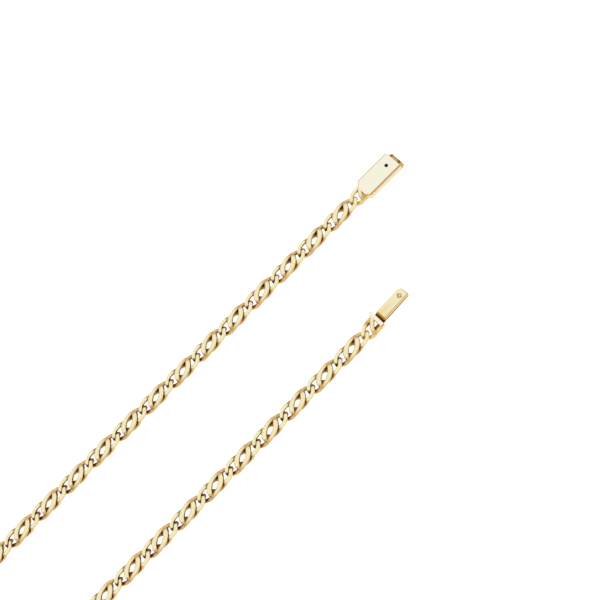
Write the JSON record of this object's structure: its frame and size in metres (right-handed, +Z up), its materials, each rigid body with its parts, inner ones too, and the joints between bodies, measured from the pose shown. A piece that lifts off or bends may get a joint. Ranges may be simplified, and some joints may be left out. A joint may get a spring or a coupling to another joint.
{
  "type": "egyptian knot chain",
  "caption": "Gold neck chain of soldered wire knots joined loop in loop, lying open, with a box clasp and a folded spring tongue.",
  "frame": {"origin": "middle of the bounding box in plan, on the surface that the chain lies on", "axes": "+X along the two straight runs towards the clasp ends, +Z up"},
  "size_m": [0.2283, 0.0679, 0.0026],
  "materials": {
    "gold_wire": "polished",
    "gold_sheet": "polished"
  },
  "bodies": {
    "root": {"chain_box_half": "gold_wire", "chain_tongue_half": "gold_wire", "clasp_box": "gold_sheet", "clasp_tongue": "gold_sheet"}
  },
  "joints": []
}
